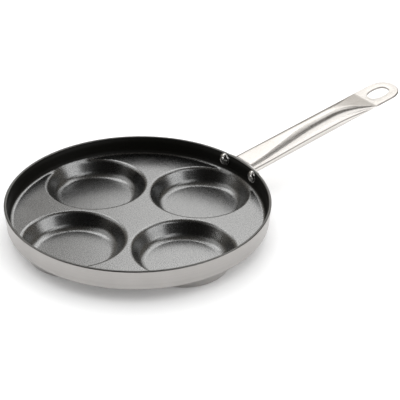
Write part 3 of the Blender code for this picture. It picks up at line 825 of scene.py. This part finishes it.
def hole_loop(grow_by, above):
    """A loop of points round the hanging hole, at this height in the tab."""
    centre = TUBE_LENGTH + HOLE_FROM_FOLD + HOLE_LENGTH / 2
    points = []
    for k in range(HOLE_STEPS):
        turn = 2 * math.pi * (k + 0.5) / HOLE_STEPS
        along = fuller(math.cos(turn)) * (HOLE_LENGTH / 2 + grow_by)
        across = fuller(math.sin(turn)) * (HOLE_WIDTH / 2 + grow_by)
        points.append(handle_point(centre + along, across, above))
    return points


def make_tab(bm, fold_ring):
    """The flat tab past the fold: a rounded edge, two flat faces and the hanging hole."""
    flat = flat_half_width(TUBE_WALL)
    right_side = fold_ring[:SIDE_STEPS + 1]
    below = fold_ring[SIDE_STEPS + 1:SIDE_STEPS + FLAT_STEPS]
    other = fold_ring[SIDE_STEPS + FLAT_STEPS:2 * SIDE_STEPS + FLAT_STEPS + 1]
    on_top = fold_ring[2 * SIDE_STEPS + FLAT_STEPS + 1:]
    paths = []
    for k, turn in enumerate(half_turn(SIDE_STEPS)):
        outline = tab_outline(flat + TUBE_WALL * math.cos(turn))
        above = TUBE_WALL * math.sin(turn)
        path = add_ring(bm, [handle_point(along, across, above) for along, across in outline[1:-1]])
        paths.append([right_side[k]] + path + [other[SIDE_STEPS - k]])
    join_rings(bm, paths, closed=False)
    hole_edge = [(HOLE_ROUNDING * (1 - math.sin(a)), TUBE_WALL - HOLE_ROUNDING * (1 - math.cos(a)))
                 for a in quarter_turn(HOLE_ROUND_STEPS)]
    hole_edge += [(grow_by, -above) for grow_by, above in reversed(hole_edge)]
    rings = [add_ring(bm, hole_loop(grow_by, above)) for grow_by, above in hole_edge]
    join_rings(bm, rings)
    fill_between(bm, paths[0] + on_top, rings[0])
    fill_between(bm, paths[-1] + below[::-1], rings[-1])


def fill_between(bm, outer, inner):
    """Fills the flat face between two closed loops."""
    edges = []
    for loop in (outer, inner):
        for first, second in zip(loop, loop[1:] + loop[:1]):
            edges.append(bm.edges.get((first, second)) or bm.edges.new((first, second)))
    bmesh.ops.triangle_fill(bm, use_beauty=True, use_dissolve=False, edges=edges)


def handle_stations():
    """Places along the tube, closer together at its mouth and its fold."""
    first = 3 * CLEARANCE + BRACKET_THICKNESS
    last = TUBE_LENGTH + FOLD_BLEND
    length = last - 2 * FOLD_BLEND - STEP_BEFORE_FOLD - first
    places = [first + length * k / TUBE_STEPS for k in range(TUBE_STEPS + 1)]
    places += [last - 2 * FOLD_BLEND * (1 - k / FOLD_STEPS) for k in range(FOLD_STEPS + 1)]
    return places


def make_handle(material):
    """The steel tube, pressed wide at the bracket, round in the middle and folded flat at its tab."""
    bm = bmesh.new()
    mouth = BRACKET_THICKNESS + CLEARANCE
    outside = [add_ring(bm, curved_section(0.0, mouth))]
    inside = [add_ring(bm, curved_section(TUBE_WALL, mouth))]
    for place in handle_stations():
        half_height = tube_half_height(place)
        outside.append(tube_ring(bm, place, half_height))
        if half_height > HOLLOW_END_HALF_HEIGHT:
            inside.append(tube_ring(bm, place, half_height, TUBE_WALL))
    join_rings(bm, outside)
    join_rings(bm, inside)
    join_rings(bm, [outside[0], inside[0]])
    bm.faces.new(inside[-1])
    make_tab(bm, outside[-1])
    handle = close_shape("tube_handle", bm, material)
    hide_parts("handle_tube")
    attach(handle, "root")
    return handle


def close_shape(name, bm, material):
    """A finished piece from a closed shape, smooth but for its sharp edges."""
    bmesh.ops.remove_doubles(bm, verts=bm.verts, dist=WELD_DISTANCE)
    piece = new_piece(name, bm)
    face_outwards(piece.data)
    piece.data.shade_smooth()
    piece.data.set_sharp_from_angle(angle=SHARP_ANGLE)
    piece.data.materials.append(material)
    return piece


def rivet_reach():
    """How far each rivet's axis lies to the side of the handle's."""
    mouth = flat_half_width(MOUTH_HALF_HEIGHT) + MOUTH_HALF_HEIGHT
    return mouth + RIVET_STANDOFF + RIVET_TAIL_RADIUS


def bracket_half_height(across):
    """Half the bracket's height at this distance from its middle: full behind the tube, ears at its ends."""
    middle, ear = flat_half_width(MOUTH_HALF_HEIGHT), rivet_reach()
    across = abs(across)
    if across <= middle:
        return MOUTH_HALF_HEIGHT
    taper = math.atan2(MOUTH_HALF_HEIGHT - EAR_RADIUS, ear - middle)
    tangent = ear + EAR_RADIUS * math.sin(taper)
    if across < tangent:
        share = (across - middle) / (tangent - middle)
        return MOUTH_HALF_HEIGHT + (EAR_RADIUS * math.cos(taper) - MOUTH_HALF_HEIGHT) * share
    return math.sqrt(max(0.0, EAR_RADIUS ** 2 - (across - ear) ** 2))


def bracket_slices():
    """Places across the bracket, from ear to ear, close together at its round ends."""
    end = rivet_reach() + EAR_RADIUS
    return [end * math.sin(math.pi / 2 * (2 * k / BRACKET_STEPS - 1)) for k in range(1, BRACKET_STEPS)]


def bracket_section(half_height):
    """Points round the plate's section as (depth, height), from its inner face over its top and back."""
    edge = min(BRACKET_ROUNDING, half_height)
    inner = [(edge * (1 - math.cos(a)), half_height - edge * (1 - math.sin(a)))
             for a in quarter_turn(BRACKET_ROUND_STEPS)]
    upper = inner + [(BRACKET_THICKNESS - depth, above) for depth, above in reversed(inner)]
    return upper + [(depth, -above) for depth, above in reversed(upper)]


def make_bracket(material):
    """The plate behind the wall, bent to it and rounded at its edges, with its spigot in the tube."""
    bm = bmesh.new()
    slices = []
    for across in bracket_slices():
        ring = []
        for depth, above in bracket_section(bracket_half_height(across)):
            z = HANDLE_HEIGHT + above
            radius = bracket_radius(z, depth)
            ring.append(Vector((math.sqrt(radius ** 2 - across ** 2), across, z)))
        slices.append(add_ring(bm, ring))
    join_rings(bm, slices)
    bm.faces.new(slices[0])
    bm.faces.new(slices[-1])
    inset = TUBE_WALL + CLEARANCE
    root = add_ring(bm, curved_section(inset, BRACKET_THICKNESS - SPIGOT_ROOT_DEPTH))
    tip = CLEARANCE + BRACKET_THICKNESS + SPIGOT_LENGTH
    end = tube_ring(bm, tip, MOUTH_HALF_HEIGHT, inset)
    join_rings(bm, [root, end])
    bm.faces.new(root)
    bm.faces.new(end)
    bracket = close_shape("wall_bracket", bm, material)
    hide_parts("handle_bracket")
    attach(bracket, "root")
    return bracket


def rivet_profile():
    """The rivet's section as (radius, height): dome, thin flange, shank and the tail formed behind."""
    head_gap = CLEARANCE + RIVET_HEAD_RADIUS ** 2 / (2 * inner_radius(HANDLE_HEIGHT))
    stack = WALL_THICKNESS * math.cos(WALL_LEAN) + CLEARANCE + BRACKET_THICKNESS
    tail = stack + CLEARANCE
    dome_radius = RIVET_HEAD_RADIUS - RIVET_FLANGE
    dome_height = RIVET_HEAD_HEIGHT - RIVET_FLANGE
    edge = RIVET_FLANGE / 2
    points = [(dome_radius * math.sin(a), -head_gap - RIVET_FLANGE - dome_height * math.cos(a))
              for a in quarter_turn(DOME_STEPS)]
    points.append((dome_radius + RIVET_LEDGE, -head_gap - RIVET_FLANGE))
    points += [(RIVET_HEAD_RADIUS - edge + edge * math.cos(a), -head_gap - edge - edge * math.sin(a))
               for a in half_turn(FLANGE_STEPS)[1:]]
    points += [(RIVET_SHANK_RADIUS, -head_gap), (RIVET_SHANK_RADIUS, tail)]
    points.append((RIVET_TAIL_RADIUS - RIVET_TAIL_CHAMFER, tail))
    points += [(RIVET_TAIL_FLAT + (RIVET_TAIL_RADIUS - RIVET_TAIL_FLAT) * math.cos(a),
                tail + RIVET_TAIL_EDGE + (RIVET_TAIL_HEIGHT - RIVET_TAIL_EDGE) * math.sin(a))
               for a in quarter_turn(TAIL_STEPS)]
    points.append((0.0, tail + RIVET_TAIL_HEIGHT))
    return points


def one_rivet():
    """A rivet that points along +Z, with its head at the bottom."""
    bm = bmesh.new()
    turns = [2 * math.pi * k / RIVET_STEPS for k in range(RIVET_STEPS)]
    rings = []
    for radius, height in rivet_profile():
        circle = [Vector((radius * math.cos(a), radius * math.sin(a), height)) for a in turns]
        rings.append(add_ring(bm, circle))
    join_rings(bm, rings)
    bmesh.ops.remove_doubles(bm, verts=bm.verts, dist=WELD_DISTANCE)
    return new_piece("rivets", bm)


def rivet_setter(material):
    """Sets a rivet on each side of the handle, square to the wall."""
    names = ["Wall radius", "Wall lean", "Height", "Reach"]
    tree, maker, size = new_shape_tree("set_rivets", names)
    spots = maker.node("GeometryNodePoints", inputs={"Count": 2})
    side = 1.0 - 2.0 * maker.node("GeometryNodeInputIndex")
    turn = side * maker.math("ARCSINE", size["Reach"] / size["Wall radius"])
    cosine, sine = maker.math("COSINE", turn), maker.math("SINE", turn)
    spot = maker.vector(size["Wall radius"] * cosine, size["Wall radius"] * sine, size["Height"])
    placed = maker.node("GeometryNodeSetPosition", inputs={0: spots, "Position": spot})
    flat = maker.math("COSINE", size["Wall lean"])
    outwards = maker.vector(cosine * flat, sine * flat, 0.0 - maker.math("SINE", size["Wall lean"]))
    rotation = maker.node("FunctionNodeAlignRotationToVector", {"axis": "Z"}, {"Vector": outwards})
    set_rivets = maker.node("GeometryNodeInstanceOnPoints", inputs={
        "Points": placed, "Instance": size["Geometry"], "Rotation": rotation})
    end_shape_tree(maker, set_rivets, material)
    return tree


def make_rivets(material):
    """Both rivets, as one visual piece."""
    rivets = one_rivet()
    grow(rivets, rivet_setter(material), {
        "Wall radius": inner_radius(HANDLE_HEIGHT) * MM, "Wall lean": WALL_LEAN,
        "Height": HANDLE_HEIGHT * MM, "Reach": rivet_reach() * MM})
    rivets.data.set_sharp_from_angle(angle=RIVET_SHARP_ANGLE)
    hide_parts("rivet_left", "rivet_right")
    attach(rivets, "root")
    return rivets


def pale_floor():
    """A wide white floor under the cup bases."""
    bm = bmesh.new()
    bmesh.ops.create_grid(bm, x_segments=1, y_segments=1, size=FLOOR_HALF_WIDTH)
    bmesh.ops.translate(bm, vec=(0, 0, FLOOR_HEIGHT), verts=bm.verts)
    floor = new_piece("studio_floor", bm)
    material, maker, shader, _ = new_finish("white_floor")
    maker.set_inputs(shader, {"Base Color": FLOOR_COLOUR, "Roughness": 0.7, "Specular IOR Level": 0.2,
                              "Emission Color": WHITE, "Emission Strength": FLOOR_GLOW})
    floor.data.materials.append(material)


def softbox(name, azimuth, elevation, wide, high, radiance):
    """A soft lamp that faces the pan from these degrees, so wide and high in degrees, as bright as this."""
    turn, rise = math.radians(azimuth), math.radians(elevation)
    towards = Vector((math.cos(rise) * math.cos(turn), math.cos(rise) * math.sin(turn), math.sin(rise)))
    data = bpy.data.lights.new(name, "AREA")
    data.shape = "RECTANGLE"
    data.size = 2 * SOFTBOX_DISTANCE * math.tan(math.radians(wide) / 2)
    data.size_y = 2 * SOFTBOX_DISTANCE * math.tan(math.radians(high) / 2)
    data.energy = radiance * math.pi * data.size * data.size_y
    lamp = bpy.data.objects.new(name, data)
    bpy.context.scene.collection.objects.link(lamp)
    lamp.location = towards * SOFTBOX_DISTANCE
    lamp.rotation_mode = "QUATERNION"
    lamp.rotation_quaternion = towards.to_track_quat("Z", "Y")


def light_studio():
    """A light tent: softboxes round the pan, white from above for diffuse rays, and for the others
    dim walls, darkest behind the camera.
    """
    world = bpy.data.worlds.new("light_tent")
    world.use_nodes = True
    maker = Maker(world.node_tree)
    x, y, z = maker.axes(maker.node("ShaderNodeTexCoord", output="Generated"))
    towards_back = x * math.cos(BACK_AZIMUTH) + y * math.sin(BACK_AZIMUTH)
    overhead = maker.math("MAXIMUM", z, 0.0)
    wall_level = maker.curve(towards_back * 0.5 + 0.5, (0.25, 0.012), (0.45, 0.11), (0.70, 0.22))
    wall_level = wall_level * (1.0 - CEILING_DIMMING * overhead)
    diffuse = maker.node("ShaderNodeLightPath", output="Is Diffuse Ray")
    tent_level = TENT_LOW_LEVEL + TENT_TOP_LEVEL * overhead * overhead
    level = diffuse * tent_level + (1.0 - diffuse) * wall_level
    colour = maker.mix_colour(diffuse, WARM_WHITE, WHITE)
    maker.set_inputs(world.node_tree.nodes["Background"], {"Color": colour, "Strength": level})
    bpy.context.scene.world = world
    softbox("back_light", 50, 31, 18, 18, 1.22)
    softbox("high_back_light", 50, 46, 14, 12, 1.9)
    softbox("left_of_back_light", 70, 40, 15, 24, 0.36)
    softbox("low_handle_light", 30, 16, 18, 24, 0.75)
    softbox("handle_light", 30, 40, 16, 24, 1.2)
    softbox("over_handle_light", 12, 56, 30, 14, 1.2)
    softbox("right_light", -60, 28, 35, 24, 1.30)
    softbox("low_right_light", -50, 4, 20, 24, 1.35)
    softbox("front_right_light", -84, 46, 28, 12, 0.90)
    softbox("over_right_light", -64, 56, 26, 16, 0.95)
    softbox("left_back_light", 120, 50, 53, 26, 0.48)
    softbox("cup_foot_light", 84, 51, 26, 16, 1.6)
    softbox("left_light", 130, 34, 50, 14, 0.42)
    softbox("rivet_light", 153, 7, 18, 10, 2.4)


def main():
    add_camera()
    make_pan_body(turned_aluminium())
    make_lining(speckled_coating())
    make_handle(brushed_handle_steel())
    make_bracket(satin_bracket_steel())
    make_rivets(polished_rivet_steel())
    pale_floor()
    light_studio()
    bpy.context.scene.view_settings.view_transform = "Standard"


main()
